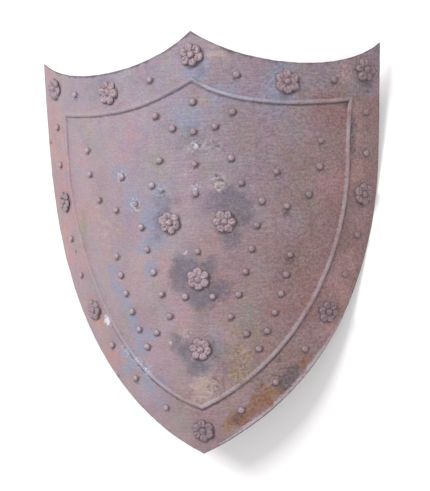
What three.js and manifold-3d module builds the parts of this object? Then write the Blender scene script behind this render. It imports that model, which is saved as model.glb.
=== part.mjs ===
// A heater shield: one curled iron plate with a raised bead, six-petalled rosettes and domed rivets.
// It lies face up, resting on the lowest stretch of its two side edges. Millimetres, +Z up.
import * as THREE from "three";
import { mergeVertices } from "three/addons/utils/BufferGeometryUtils.js";
import Module from "manifold-3d";

const wasm = await Module();
wasm.setup();

// Plate, measured as if it were rolled out flat
const shieldHeight = 600;
const shieldWidth = 570;
const plateThickness = 2;
const topCurlRadius = 421;
const tipCurlRadius = 271;
const restFlat = 1;

// Border between the edge and the bead
const sideBorder = 60;
const topPointBorder = 65;
const tipBorder = 71;

// Bead
const beadWidth = 7;
const beadHeight = 2.6;

// Rosettes
const rosetteRadius = 17;
const petalRadius = 6.6;
const petalHeight = 4.6;
const bossRadius = 4.6;
const bossHeight = 5.4;
const rosetteRim = 0.8;
const petalCount = 6;

// Rivets
const rivetRadius = 5.3;
const rivetHeight = 4.2;

// Where the outlines bend, in shares of a half width and a height
const beadShoulder = [0.6, 0.8];
const rivetBends = [[0.97, 0.18], [0.62, 0.82]];

// Fits
const seatGap = 0.3;

const halfHeight = shieldHeight / 2;
const halfWidth = shieldWidth / 2;

// The field inside the bead has its own half sizes and its own middle
const field = {
  halfWidth: halfWidth - sideBorder,
  halfHeight: halfHeight - (topPointBorder + tipBorder) / 2,
  middle: (tipBorder - topPointBorder) / 2,
};
const whole = { halfWidth, halfHeight, middle: 0 };

// Each line is drawn in shares of its half width and half height. The two halves differ a little,
// because the plate was cut by hand.
const edgeShape = {
  left: {
    corner: [0.975, 0.961], belly: [1.019, 0.218], shoulderPull: 0.519, flankPull: 0.433,
    tipPull: [0.521, -0.768], topPulls: [[0.254, 0.79], [0.751, 0.815]],
  },
  right: {
    corner: [0.973, 0.951], belly: [0.985, 0.396], shoulderPull: 0.258, flankPull: 0.662,
    tipPull: [0.582, -0.714], topPulls: [[0.273, 0.815], [0.737, 0.785]],
  },
};
const beadShape = {
  left: {
    corner: [1.009, 0.866], belly: [1.018, 0.461], shoulderPull: 0.259, flankPull: 0.474,
    tipPull: [0.6, -0.832], topPulls: [[0.286, 0.858], [0.503, 0.8]],
  },
  right: {
    corner: [1.009, 0.871], belly: [0.987, 0.483], shoulderPull: 0.233, flankPull: 0.595,
    tipPull: [0.6, -0.711], topPulls: [[0.263, 0.822], [0.688, 0.832]],
  },
};

// One half of a line: its top from the middle point to the corner, its side from there to the tip
function halfLine(shape, size) {
  const at = ([across, up]) => new THREE.Vector2(across * size.halfWidth, size.middle + up * size.halfHeight);
  const [wide, high] = shape.belly;
  const corner = at(shape.corner);
  const belly = at(shape.belly);
  const top = new THREE.CubicBezierCurve(at([0, 1]), ...shape.topPulls.map(at), corner);
  const side = new THREE.CurvePath();
  side.add(new THREE.QuadraticBezierCurve(corner, at([wide, high + shape.shoulderPull]), belly));
  side.add(new THREE.CubicBezierCurve(
    belly, at([wide, high - shape.flankPull]), at(shape.tipPull), at([0, -1])));
  return { top, side, corner };
}
const edge = { left: halfLine(edgeShape.left, whole), right: halfLine(edgeShape.right, whole) };
const bead = { left: halfLine(beadShape.left, field), right: halfLine(beadShape.right, field) };
const hands = { left: -1, right: 1 };

// The curl: a cone-like roll about the up line, tighter towards the tip. A point of the flat drawing
// goes to the outer face, and then out along the face's normal.
const curlSlope = (topCurlRadius - tipCurlRadius) / shieldHeight;
function curl(across, up) {
  const radius = (topCurlRadius + tipCurlRadius) / 2 + curlSlope * up;
  const angle = across / radius;
  const drop = 1 - Math.cos(angle);
  return {
    point: new THREE.Vector3(radius * Math.sin(angle), up, -radius * drop),
    normal: new THREE.Vector3(Math.sin(angle), -curlSlope * drop, Math.cos(angle)).normalize(),
    acrossWay: new THREE.Vector3(Math.cos(angle), 0, -Math.sin(angle)),
  };
}
function onFace(across, up, height) {
  const { point, normal } = curl(across, up);
  return point.addScaledVector(normal, height);
}

// The flat drawing as rows from the top edge down to the tip, each crossed by the same columns
const plateRows = 21;
const plateColumns = 9;
function drawingPoint(row, column) {
  const along = row / plateRows;
  const hand = column < 0 ? "left" : "right";
  const share = Math.abs(column) / plateColumns;
  const side = { left: edge.left.side.getPointAt(along), right: edge.right.side.getPointAt(along) };
  const top = edge[hand].top.getPointAt(share);
  const middleUp = (side.left.y + side.right.y) / 2;
  const fade = (1 - along) ** 2;
  const shareAtTop = top.x / edge[hand].corner.x;
  const across = side[hand].x * (shareAtTop + (share - shareAtTop) * along);
  const sideUp = middleUp + (side[hand].y - middleUp) * share;
  const cornerMiddleUp = (edge.left.corner.y + edge.right.corner.y) / 2;
  const cornerUp = cornerMiddleUp + (edge[hand].corner.y - cornerMiddleUp) * share;
  return [hands[hand] * across, sideUp + (top.y - cornerUp) * fade];
}
const drawing = [];
for (let row = 0; row <= plateRows; row += 1) {
  const line = [];
  for (let column = -plateColumns; column <= plateColumns; column += 1) {
    line.push(drawingPoint(row, column));
  }
  drawing.push(line);
}

// The shield lies where it balances: both side edges touch the ground, and the middle of its area
// stands over the line between the two touching places.
function areaCentre() {
  const sum = new THREE.Vector3();
  const piece = new THREE.Triangle();
  const middle = new THREE.Vector3();
  let total = 0;
  for (let row = 0; row < plateRows; row += 1) {
    for (let column = 0; column < 2 * plateColumns; column += 1) {
      const [a, b] = [curl(...drawing[row][column]).point, curl(...drawing[row][column + 1]).point];
      const [c, d] = [curl(...drawing[row + 1][column]).point, curl(...drawing[row + 1][column + 1]).point];
      for (const corners of [[a, c, d], [a, d, b]]) {
        const area = piece.set(...corners).getArea();
        sum.addScaledVector(piece.getMidpoint(middle), area);
        total += area;
      }
    }
  }
  return sum.divideScalar(total);
}
const edgeSamples = 400;
function edgePoints(hand) {
  return Array.from({ length: edgeSamples + 1 }, (_, step) => {
    const flat = edge[hand].side.getPointAt(step / edgeSamples);
    return onFace(hands[hand] * flat.x, flat.y, -plateThickness);
  });
}
const sideEdges = { left: edgePoints("left"), right: edgePoints("right") };
function lying(tilt, roll) {
  return new THREE.Matrix4().makeRotationY(roll).multiply(new THREE.Matrix4().makeRotationX(tilt));
}
function touchingPlace(hand, pose) {
  const laid = sideEdges[hand].map((point) => point.clone().applyMatrix4(pose));
  return laid.reduce((lowest, point) => (point.z < lowest.z ? point : lowest));
}
const rollPasses = 12;
function settledRoll(tilt) {
  let roll = 0;
  for (let pass = 0; pass < rollPasses; pass += 1) {
    const pose = lying(tilt, roll);
    const [left, right] = [touchingPlace("left", pose), touchingPlace("right", pose)];
    roll += Math.atan2(right.z - left.z, right.x - left.x);
  }
  return roll;
}
const steepestTilt = 0.3; // radians, either way
const tiltCloseness = 1e-4;
function settledPose() {
  const centre = areaCentre();
  let [low, high] = [-steepestTilt, steepestTilt];
  while (high - low > tiltCloseness) {
    const tilt = (low + high) / 2;
    const pose = lying(tilt, settledRoll(tilt));
    const [left, right] = [touchingPlace("left", pose), touchingPlace("right", pose)];
    const above = centre.clone().applyMatrix4(pose);
    const lineUp = left.y + ((right.y - left.y) * (above.x - left.x)) / (right.x - left.x);
    if (above.y < lineUp) low = tilt;
    else high = tilt;
  }
  return lying(low, settledRoll(low));
}

// Closed meshes
function geometryOf(points, triangles) {
  const geometry = new THREE.BufferGeometry();
  const flat = points.flatMap((p) => [p.x, p.y, p.z]);
  geometry.setAttribute("position", new THREE.Float32BufferAttribute(flat, 3));
  geometry.setIndex(triangles);
  return geometry;
}
function toSolid(geometry) {
  const bare = geometry.clone();
  bare.deleteAttribute("normal");
  bare.deleteAttribute("uv");
  const merged = mergeVertices(bare, 1e-4);
  const mesh = new wasm.Mesh({
    numProp: 3,
    vertProperties: new Float32Array(merged.attributes.position.array),
    triVerts: new Uint32Array(merged.index.array),
  });
  return new wasm.Manifold(mesh);
}
function toGeometry(solid) {
  const mesh = solid.getMesh();
  const geometry = new THREE.BufferGeometry();
  const positions = new Float32Array(mesh.vertProperties);
  geometry.setAttribute("position", new THREE.BufferAttribute(positions, 3));
  geometry.setIndex(new THREE.BufferAttribute(new Uint32Array(mesh.triVerts), 1));
  return geometry;
}

// Plate: the outer face, the inner face one thickness below it, and the wall between them
function plateGeometry() {
  const points = [];
  const triangles = [];
  const wide = 2 * plateColumns + 1;
  const faceSize = wide * plateRows + 1;
  for (const height of [0, -plateThickness]) {
    for (let row = 0; row < plateRows; row += 1) {
      for (const [across, up] of drawing[row]) points.push(onFace(across, up, height));
    }
    points.push(onFace(0, -halfHeight, height));
  }
  const tip = faceSize - 1;
  const add = (a, b, c) => {
    triangles.push(a, b, c);
    triangles.push(c + faceSize, b + faceSize, a + faceSize);
  };
  for (let row = 0; row < plateRows - 1; row += 1) {
    for (let column = 0; column < wide - 1; column += 1) {
      const a = row * wide + column;
      add(a, a + wide, a + wide + 1);
      add(a, a + wide + 1, a + 1);
    }
  }
  for (let column = 0; column < wide - 1; column += 1) {
    const a = (plateRows - 1) * wide + column;
    add(a, tip, a + 1);
  }
  const rim = [];
  for (let column = wide - 1; column > 0; column -= 1) rim.push(column);
  for (let row = 0; row < plateRows; row += 1) rim.push(row * wide);
  rim.push(tip);
  for (let row = plateRows - 1; row > 0; row -= 1) rim.push(row * wide + wide - 1);
  rim.forEach((from, index) => {
    const to = rim[(index + 1) % rim.length];
    triangles.push(from, from + faceSize, to + faceSize);
    triangles.push(from, to + faceSize, to);
  });
  return geometryOf(points, triangles);
}

// Bead: a low rounded section carried round the field, mitred at the four points
const beadSideSteps = 17;
const beadTopSteps = 7;
function beadPath() {
  const path = [];
  const take = (line, steps, hand, backwards) => {
    for (let step = 0; step < steps; step += 1) {
      const p = line.getPointAt(backwards ? 1 - step / steps : step / steps);
      path.push(new THREE.Vector2(hands[hand] * p.x, p.y));
    }
  };
  take(bead.right.top, beadTopSteps, "right", false);
  take(bead.right.side, beadSideSteps, "right", false);
  take(bead.left.side, beadSideSteps, "left", true);
  take(bead.left.top, beadTopSteps, "left", true);
  return path;
}
function beadGeometry() {
  const path = beadPath();
  const sink = plateThickness / 2;
  const half = beadWidth / 2;
  const shoulder = [beadShoulder[0] * half, beadShoulder[1] * beadHeight];
  const section = [
    [-half, -sink], [-shoulder[0], shoulder[1]], [0, beadHeight], shoulder, [half, -sink],
  ];
  const points = [];
  const triangles = [];
  path.forEach((here, index) => {
    const before = path[(index + path.length - 1) % path.length];
    const after = path[(index + 1) % path.length];
    const incoming = here.clone().sub(before).normalize();
    const outgoing = after.clone().sub(here).normalize();
    const along = incoming.clone().add(outgoing).normalize();
    const mitre = 1 / along.dot(outgoing);
    for (const [offset, height] of section) {
      const across = here.x - along.y * offset * mitre;
      const up = here.y + along.x * offset * mitre;
      points.push(onFace(across, up, height));
    }
  });
  const sides = section.length;
  for (let station = 0; station < path.length; station += 1) {
    const next = (station + 1) % path.length;
    for (let side = 0; side < sides; side += 1) {
      const beside = (side + 1) % sides;
      const [a, b] = [station * sides + side, station * sides + beside];
      const [c, d] = [next * sides + side, next * sides + beside];
      triangles.push(a, c, d);
      triangles.push(a, d, b);
    }
  }
  return geometryOf(points, triangles);
}

// Rivet: a low domed head. A fused head also has a stub that ends inside the plate, and so it bends
// once more where it leaves the plate.
const rivetSides = 8;
function rivetGeometry(stub) {
  const bends = stub > 0 ? rivetBends : rivetBends.slice(1);
  const profile = [
    new THREE.Vector2(0, -stub),
    new THREE.Vector2(rivetRadius, -stub),
    ...bends.map(([out, high]) => new THREE.Vector2(out * rivetRadius, high * rivetHeight)),
    new THREE.Vector2(0, rivetHeight),
  ];
  const geometry = new THREE.LatheGeometry(profile, rivetSides);
  geometry.rotateX(Math.PI / 2);
  return geometry;
}

// Rosette: six domed petals round a domed boss, on a thin scalloped base
const stepsPerPetal = 4;
const rosetteRings = [0.2, 0.31, 0.72, 1];
function rosetteGeometry() {
  const steps = petalCount * stepsPerPetal;
  const petalMiddle = rosetteRadius - petalRadius;
  const points = [new THREE.Vector3(0, 0, rosetteRim + bossHeight)];
  const bottom = [new THREE.Vector3(0, 0, 0)];
  const dome = (distance, radius, height) => height * Math.sqrt(Math.max(0, 1 - (distance / radius) ** 2));
  for (const ring of rosetteRings) {
    for (let step = 0; step < steps; step += 1) {
      const turn = (2 * Math.PI * step) / steps;
      const petal = Math.round(step / stepsPerPetal) * ((2 * Math.PI) / petalCount);
      const off = turn - petal;
      const inside = petalRadius ** 2 - (petalMiddle * Math.sin(off)) ** 2;
      const rim = petalMiddle * Math.cos(off) + Math.sqrt(Math.max(0, inside));
      const reach = ring * rim;
      const gap = Math.hypot(reach - petalMiddle * Math.cos(off), petalMiddle * Math.sin(off));
      const lift = Math.max(dome(gap, petalRadius, petalHeight), dome(reach, bossRadius, bossHeight));
      const [x, y] = [reach * Math.cos(turn), reach * Math.sin(turn)];
      points.push(new THREE.Vector3(x, y, rosetteRim + lift));
      if (ring === 1) bottom.push(new THREE.Vector3(x, y, 0));
    }
  }
  const triangles = [];
  const underside = points.length;
  points.push(...bottom);
  const last = 1 + (rosetteRings.length - 1) * steps;
  for (let step = 0; step < steps; step += 1) {
    const next = (step + 1) % steps;
    triangles.push(0, 1 + step, 1 + next);
    for (let ring = 0; ring < rosetteRings.length - 1; ring += 1) {
      const inner = 1 + ring * steps;
      const outer = inner + steps;
      triangles.push(inner + step, outer + step, outer + next);
      triangles.push(inner + step, outer + next, inner + next);
    }
    triangles.push(last + step, underside + 1 + step, underside + 1 + next);
    triangles.push(last + step, underside + 1 + next, last + next);
    triangles.push(underside, underside + 1 + next, underside + 1 + step);
  }
  return geometryOf(points, triangles);
}

// The frame of a thing that sits on the face at a place of the drawing, turned about its own axis
function seat(across, up, height, turn) {
  const { normal, acrossWay } = curl(across, up);
  const upWay = new THREE.Vector3().crossVectors(normal, acrossWay).normalize();
  const matrix = new THREE.Matrix4().makeBasis(acrossWay, upWay, normal);
  matrix.setPosition(onFace(across, up, height));
  return matrix.multiply(new THREE.Matrix4().makeRotationZ(turn));
}

// A place in the middle of the border, at a share of the way from the corner to the tip, or from the
// top point to the corner. Both halves share one middle line, so what sits on it mirrors.
function borderPlace(hand, line, share) {
  const lines = [edge.left, edge.right, bead.left, bead.right].map((half) => half[line].getPointAt(share));
  const middle = lines.reduce((sum, point) => sum.add(point), new THREE.Vector2()).divideScalar(lines.length);
  return [hands[hand] * middle.x, middle.y];
}
function fieldPlace(hand, [across, up]) {
  return [hands[hand] * across * field.halfWidth, field.middle + up * field.halfHeight];
}
const middlePlace = (up) => [0, up];

// Rows of rivets in the field, from one place to another, bowed sideways by a share of their length
function rivetRow(from, to, count, bow) {
  const places = [];
  for (let index = 0; index < count; index += 1) {
    const share = count > 1 ? index / (count - 1) : 0;
    const swing = bow * 4 * share * (1 - share);
    const [dx, dy] = [to[0] - from[0], to[1] - from[1]];
    places.push([from[0] + share * dx - swing * dy, from[1] + share * dy + swing * dx]);
  }
  return places;
}
const upperRivets = [
  [0.134, 0.718], [0.244, 0.799], [0.229, 0.53], [0.287, 0.381], [0.507, 0.441],
  [0.798, 0.62], [0.788, 0.466], [0.713, 0.298], [0.569, 0.234], [0.412, 0.269],
];
const leafRivets = [
  ...rivetRow([0.584, -0.063], [0.371, -0.637], 6, 0.04),
  ...rivetRow([0.377, 0.125], [0.198, -0.43], 5, 0.02),
  [0.294, -0.539],
  [0.089, -0.305],
];
const middleRivets = [0.867, 0.693, 0.501, 0.324, -0.026].map(
  (up) => middlePlace(field.middle + up * field.halfHeight));
const fieldRosettes = { pair: [0.176, 0.15], centre: -0.197, lower: -0.634 };
const topBorderShares = { rosette: 0.53, rivets: [0.26, 0.79] };
const sideBorderShares = { rosettes: [0.287, 0.583], rivetsBetween: [2, 2, 3] };

function sideRivetShares() {
  const stops = [0, ...sideBorderShares.rosettes, 1];
  return sideBorderShares.rivetsBetween.flatMap((count, index) => {
    const gap = (stops[index + 1] - stops[index]) / (count + 1);
    return Array.from({ length: count }, (_, step) => stops[index] + (step + 1) * gap);
  });
}

const iron = new THREE.MeshStandardMaterial({ color: 0x8c6f6d, roughness: 0.72, metalness: 0.35 });
const rosetteIron = new THREE.MeshStandardMaterial({ color: 0x7c6767, roughness: 0.7, metalness: 0.4 });
const rivetIron = new THREE.MeshStandardMaterial({ color: 0x806a6b, roughness: 0.7, metalness: 0.4 });

// The plate with its bead and the leaf-shaped rivet rows
let plate = toSolid(plateGeometry()).add(toSolid(beadGeometry()));
const stub = plateThickness / 2;
for (const hand of ["left", "right"]) {
  for (const spot of leafRivets) {
    const head = rivetGeometry(stub);
    head.applyMatrix4(seat(...fieldPlace(hand, spot), 0, 0));
    plate = plate.add(toSolid(head));
  }
}

// The plate is laid down first. Its lowest places are worn flat where they touch the ground, and
// everything that it carries is then placed through the same move.
const rest = settledPose();
const laid = toGeometry(plate).applyMatrix4(rest);
laid.computeBoundingBox();
const box = laid.boundingBox;
const down = new THREE.Matrix4().makeTranslation(
  -(box.min.x + box.max.x) / 2, -(box.min.y + box.max.y) / 2, -box.min.z - restFlat);
rest.premultiply(down);
laid.applyMatrix4(down);
const ground = new THREE.BoxGeometry(2 * shieldWidth, 2 * shieldHeight, shieldHeight);
ground.translate(0, 0, -shieldHeight / 2);

const shield = new THREE.Group();
function place(name, geometry, material, matrix) {
  const mesh = new THREE.Mesh(geometry, material);
  mesh.name = name;
  mesh.applyMatrix4(matrix);
  shield.add(mesh);
}
place("plate", toGeometry(toSolid(laid).subtract(toSolid(ground))), iron, new THREE.Matrix4());

// Rosettes, each turned as it was set by hand
const quarter = Math.PI / 2;
function placeRosette(name, [across, up], turn) {
  const matrix = rest.clone().multiply(seat(across, up, seatGap, quarter + turn));
  place(name, rosetteGeometry(), rosetteIron, matrix);
}
placeRosette("rosette_top", middlePlace(halfHeight - topPointBorder / 2), 0.2);
placeRosette("rosette_tip", middlePlace(-halfHeight + tipBorder / 2), 0.1);
placeRosette("rosette_centre", middlePlace(field.middle + fieldRosettes.centre * field.halfHeight), 0);
placeRosette("rosette_lower", middlePlace(field.middle + fieldRosettes.lower * field.halfHeight), 0.35);
const handTurns = {
  left: { field: 0.2, top: 0.3, corner: 0.1, upper: 0.25, lower: 0.4 },
  right: { field: 0.52, top: 0, corner: 0.45, upper: 0.15, lower: 0.3 },
};
for (const hand of ["left", "right"]) {
  const turns = handTurns[hand];
  const [upper, lower] = sideBorderShares.rosettes;
  placeRosette(`rosette_field_${hand}`, fieldPlace(hand, fieldRosettes.pair), turns.field);
  placeRosette(`rosette_top_${hand}`, borderPlace(hand, "top", topBorderShares.rosette), turns.top);
  placeRosette(`rosette_corner_${hand}`, borderPlace(hand, "side", 0), turns.corner);
  placeRosette(`rosette_side_${hand}`, borderPlace(hand, "side", upper), turns.upper);
  placeRosette(`rosette_flank_${hand}`, borderPlace(hand, "side", lower), turns.lower);
}

// Rivets with heads of their own
function placeRivet(name, [across, up]) {
  place(name, rivetGeometry(0), rivetIron, rest.clone().multiply(seat(across, up, seatGap, 0)));
}
middleRivets.forEach((spot, index) => placeRivet(`rivet_middle_${index + 1}`, spot));
for (const hand of ["left", "right"]) {
  upperRivets.forEach((spot, index) => placeRivet(`rivet_field_${hand}_${index + 1}`, fieldPlace(hand, spot)));
  topBorderShares.rivets.forEach(
    (share, index) => placeRivet(`rivet_top_${hand}_${index + 1}`, borderPlace(hand, "top", share)));
  sideRivetShares().forEach(
    (share, index) => placeRivet(`rivet_side_${hand}_${index + 1}`, borderPlace(hand, "side", share)));
}

export default shield;
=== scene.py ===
import math

import bmesh
import bpy
import numpy as np
from mathutils import Matrix, Vector, noise


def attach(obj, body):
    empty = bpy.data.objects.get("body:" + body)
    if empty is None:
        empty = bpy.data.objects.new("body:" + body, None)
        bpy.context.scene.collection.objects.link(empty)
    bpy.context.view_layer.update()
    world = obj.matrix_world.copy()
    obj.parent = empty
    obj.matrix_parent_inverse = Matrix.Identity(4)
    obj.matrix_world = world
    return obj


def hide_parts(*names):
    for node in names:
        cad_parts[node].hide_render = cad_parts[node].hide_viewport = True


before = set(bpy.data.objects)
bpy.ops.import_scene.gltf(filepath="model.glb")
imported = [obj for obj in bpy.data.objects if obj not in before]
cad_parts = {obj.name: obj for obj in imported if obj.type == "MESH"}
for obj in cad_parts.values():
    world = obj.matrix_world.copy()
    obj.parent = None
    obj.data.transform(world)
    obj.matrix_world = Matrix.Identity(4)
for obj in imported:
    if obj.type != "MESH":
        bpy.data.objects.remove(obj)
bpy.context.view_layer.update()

# Heater shield of beaten sheet iron, lying face up. The drawing is the plate rolled out flat, in
# millimetres: across from the middle line, up from the middle of the height.


# Small helpers

def hexToLinear(code):
    channels = [int(code[i:i + 2], 16) / 255 for i in (1, 3, 5)]
    linear = [c / 12.92 if c <= 0.04045 else ((c + 0.055) / 1.055) ** 2.4 for c in channels]
    return (*linear, 1.0)


def perMm(size):
    return 1000 / size  # texture scale for a feature of this many millimetres


def feed(tree, node, inputs):
    # an input takes a value, a socket, a node for its first live output, or a list of them to join
    for key, given in inputs.items():
        for value in given if isinstance(given, list) else [given]:
            if isinstance(value, bpy.types.Node):
                value = next(socket for socket in value.outputs if socket.enabled)
            if isinstance(value, bpy.types.NodeSocket):
                tree.links.new(value, node.inputs[key])
            else:
                node.inputs[key].default_value = value


def addNode(tree, kind, settings=None, inputs=None):
    made = tree.nodes.new(kind)
    for key, value in (settings or {}).items():
        setattr(made, key, value)
    feed(tree, made, inputs or {})
    return made


# kinds of node, with the settings that many of them share
plus, minus, times, timesPlus, over, power, exponent, larger, exceeds = (
    ("ShaderNodeMath", {"operation": name}) for name in (
        "ADD", "SUBTRACT", "MULTIPLY", "MULTIPLY_ADD", "DIVIDE", "POWER", "EXPONENT", "MAXIMUM",
        "GREATER_THAN"))
softRange = ("ShaderNodeMapRange", {"interpolation_type": "SMOOTHSTEP"})


def newPiece(name, mesh, material):
    piece = bpy.data.objects.new(name, mesh)
    bpy.context.scene.collection.objects.link(piece)
    mesh.materials.clear()
    mesh.materials.append(material)
    return piece


def smoothStep(low, high, value):
    share = np.clip((value - low) / (high - low), 0, 1)
    return share * share * (3 - 2 * share)


def noiseField(points, size, seed, depth=3):
    # soft noise of about -1 to 1 over drawing points, its blobs about one size across
    out = np.empty(len(points))
    for index, (across, up) in enumerate(points):
        out[index] = noise.fractal(Vector((across / size, up / size, seed * 7.31)), 1.0, 2.0, depth)
    return out


# The plate's lines and curl

plateSizes = {
    "height": 600, "width": 570, "thickness": 2,
    "topCurlRadius": 421, "tipCurlRadius": 271,
    "sideBorder": 60, "topPointBorder": 65, "tipBorder": 71,
}
# how the shield lies when it balances on its side edges
lying = {"tilt": 4.2846, "roll": 1.19, "shift": (4.3217, -0.0747, 102.8329)}

halfHeight = plateSizes["height"] / 2
halfWidth = plateSizes["width"] / 2
wholeSize = {"halfWidth": halfWidth, "halfHeight": halfHeight, "middle": 0}
fieldSize = {
    "halfWidth": halfWidth - plateSizes["sideBorder"],
    "halfHeight": halfHeight - (plateSizes["topPointBorder"] + plateSizes["tipBorder"]) / 2,
    "middle": (plateSizes["tipBorder"] - plateSizes["topPointBorder"]) / 2,
}
edgeShape = {
    "left": {
        "corner": (0.975, 0.961), "belly": (1.019, 0.218), "shoulderPull": 0.519, "flankPull": 0.433,
        "tipPull": (0.521, -0.768), "topPulls": ((0.254, 0.79), (0.751, 0.815)),
    },
    "right": {
        "corner": (0.973, 0.951), "belly": (0.985, 0.396), "shoulderPull": 0.258, "flankPull": 0.662,
        "tipPull": (0.582, -0.714), "topPulls": ((0.273, 0.815), (0.737, 0.785)),
    },
}
beadShape = {
    "left": {
        "corner": (1.009, 0.866), "belly": (1.018, 0.461), "shoulderPull": 0.259, "flankPull": 0.474,
        "tipPull": (0.6, -0.832), "topPulls": ((0.286, 0.858), (0.503, 0.8)),
    },
    "right": {
        "corner": (1.009, 0.871), "belly": (0.987, 0.483), "shoulderPull": 0.233, "flankPull": 0.595,
        "tipPull": (0.6, -0.711), "topPulls": ((0.263, 0.822), (0.688, 0.832)),
    },
}
hands = {"left": -1, "right": 1}


def bezier(points, steps=300):
    share = np.linspace(0, 1, steps + 1)[:, None]
    points = [np.array(p, float) for p in points]
    while len(points) > 1:
        points = [a + (b - a) * share for a, b in zip(points, points[1:])]
    return points[0]


def alongLine(line, shares):
    # places at equal lengths along a dense line
    lengths = np.concatenate([[0], np.cumsum(np.hypot(*np.diff(line, axis=0).T))])
    wanted = np.asarray(shares) * lengths[-1]
    return np.column_stack([np.interp(wanted, lengths, line[:, axis]) for axis in (0, 1)])


def halfLines(shape, size):
    def at(place):
        return (place[0] * size["halfWidth"], size["middle"] + place[1] * size["halfHeight"])
    wide, high = shape["belly"]
    corner, belly = at(shape["corner"]), at(shape["belly"])
    top = bezier([at((0, 1)), *map(at, shape["topPulls"]), corner])
    shoulder = bezier([corner, at((wide, high + shape["shoulderPull"])), belly])
    flank = bezier([belly, at((wide, high - shape["flankPull"])), at(shape["tipPull"]), at((0, -1))])
    return {"top": top, "side": np.vstack([shoulder, flank[1:]])}


edge = {hand: halfLines(edgeShape[hand], wholeSize) for hand in hands}
bead = {hand: halfLines(beadShape[hand], fieldSize) for hand in hands}

roll = Matrix.Rotation(math.radians(lying["roll"]), 3, "Y")
tilt = Matrix.Rotation(math.radians(lying["tilt"]), 3, "X")
layRotation = np.array(roll @ tilt)
layShift = np.array(lying["shift"])


def onFace(drawn, height):
    # drawing points and heights above the outer face, in millimetres, to metres where it lies
    across, up = np.asarray(drawn, float).T
    slope = (plateSizes["topCurlRadius"] - plateSizes["tipCurlRadius"]) / plateSizes["height"]
    radius = (plateSizes["topCurlRadius"] + plateSizes["tipCurlRadius"]) / 2 + slope * up
    angle = across / radius
    drop = 1 - np.cos(angle)
    point = np.column_stack([radius * np.sin(angle), up, -radius * drop])
    normal = np.column_stack([np.sin(angle), -slope * drop, np.cos(angle)])
    normal /= np.linalg.norm(normal, axis=1)[:, None]
    placed = (point + normal * np.asarray(height, float).reshape(-1, 1)) @ layRotation.T + layShift
    return placed / 1000, normal @ layRotation.T


# Where the rosettes and rivets sit

def borderPlace(hand, line, share):
    # midway between edge and bead, and the same on both hands
    places = [alongLine(half[line], [share])[0] for group in (edge, bead) for half in group.values()]
    middle = np.mean(places, axis=0)
    return (hands[hand] * middle[0], middle[1])


def fieldPlace(hand, place):
    return (hands[hand] * place[0] * fieldSize["halfWidth"],
            fieldSize["middle"] + place[1] * fieldSize["halfHeight"])


def rowOf(start, end, count, bow):
    places = []
    for share in np.linspace(0, 1, count):
        swing = bow * 4 * share * (1 - share)
        dx, dy = end[0] - start[0], end[1] - start[1]
        places.append((start[0] + share * dx - swing * dy, start[1] + share * dy + swing * dx))
    return places


fieldRivets = [
    (0.134, 0.718), (0.244, 0.799), (0.229, 0.53), (0.287, 0.381), (0.507, 0.441),
    (0.798, 0.62), (0.788, 0.466), (0.713, 0.298), (0.569, 0.234), (0.412, 0.269),
    *rowOf((0.584, -0.063), (0.371, -0.637), 6, 0.04),
    *rowOf((0.377, 0.125), (0.198, -0.43), 5, 0.02),
    (0.294, -0.539), (0.089, -0.305),
]
middleRivets = [0.867, 0.693, 0.501, 0.324, -0.026]
topBorder = {"rosette": 0.53, "rivets": (0.26, 0.79)}
sideBorder = {"rosettes": (0.287, 0.583), "rivetsBetween": (2, 2, 3)}


def sideRivetShares():
    stops = [0, *sideBorder["rosettes"], 1]
    shares = []
    for low, high, count in zip(stops, stops[1:], sideBorder["rivetsBetween"]):
        shares += [low + (high - low) * (step + 1) / (count + 1) for step in range(count)]
    return shares


rivetPlaces = [(0, fieldSize["middle"] + up * fieldSize["halfHeight"]) for up in middleRivets]
for hand in hands:
    rivetPlaces += [fieldPlace(hand, place) for place in fieldRivets]
    rivetPlaces += [borderPlace(hand, "top", share) for share in topBorder["rivets"]]
    rivetPlaces += [borderPlace(hand, "side", share) for share in sideRivetShares()]

# each rosette: its place, how it was turned when it was set, in radians, and how dark it went
rosettePlaces = {
    "top": ((0, halfHeight - plateSizes["topPointBorder"] / 2), 0.2, 0.05),
    "tip": ((0, -halfHeight + plateSizes["tipBorder"] / 2), 0.1, 0.75),
    "centre": ((0, fieldSize["middle"] - 0.197 * fieldSize["halfHeight"]), 0, 0),
    "lower": ((0, fieldSize["middle"] - 0.634 * fieldSize["halfHeight"]), 0.35, 0),
}
handTurns = {
    "left": {
        "field": (0.2, 0.1), "top": (0.3, 0.2), "corner": (0.1, 0.4),
        "side": (0.25, 0.4), "flank": (0.4, 0.4),
    },
    "right": {
        "field": (0.52, 0.05), "top": (0, 0.15), "corner": (0.45, 0.4),
        "side": (0.15, 0.3), "flank": (0.3, 0.5),
    },
}
for hand, turns in handTurns.items():
    upper, lower = sideBorder["rosettes"]
    places = {
        "field": fieldPlace(hand, (0.176, 0.15)), "top": borderPlace(hand, "top", topBorder["rosette"]),
        "corner": borderPlace(hand, "side", 0), "side": borderPlace(hand, "side", upper),
        "flank": borderPlace(hand, "side", lower),
    }
    for name, place in places.items():
        rosettePlaces[f"{name}_{hand}"] = (place, *turns[name])
print("drawing: done", len(rivetPlaces), "rivets", len(rosettePlaces), "rosettes")


# Materials

def startMaterial(name, settings):
    # a new material, its shader, its places in metres, and its look with the colours made linear
    material = bpy.data.materials.new(name)
    material.use_nodes = True
    tree = material.node_tree
    place = addNode(tree, "ShaderNodeTexCoord").outputs["Object"]
    look = {key: hexToLinear(value) if isinstance(value, str) else value for key, value in settings.items()}
    return material, tree, tree.nodes["Principled BSDF"], place, look


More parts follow.
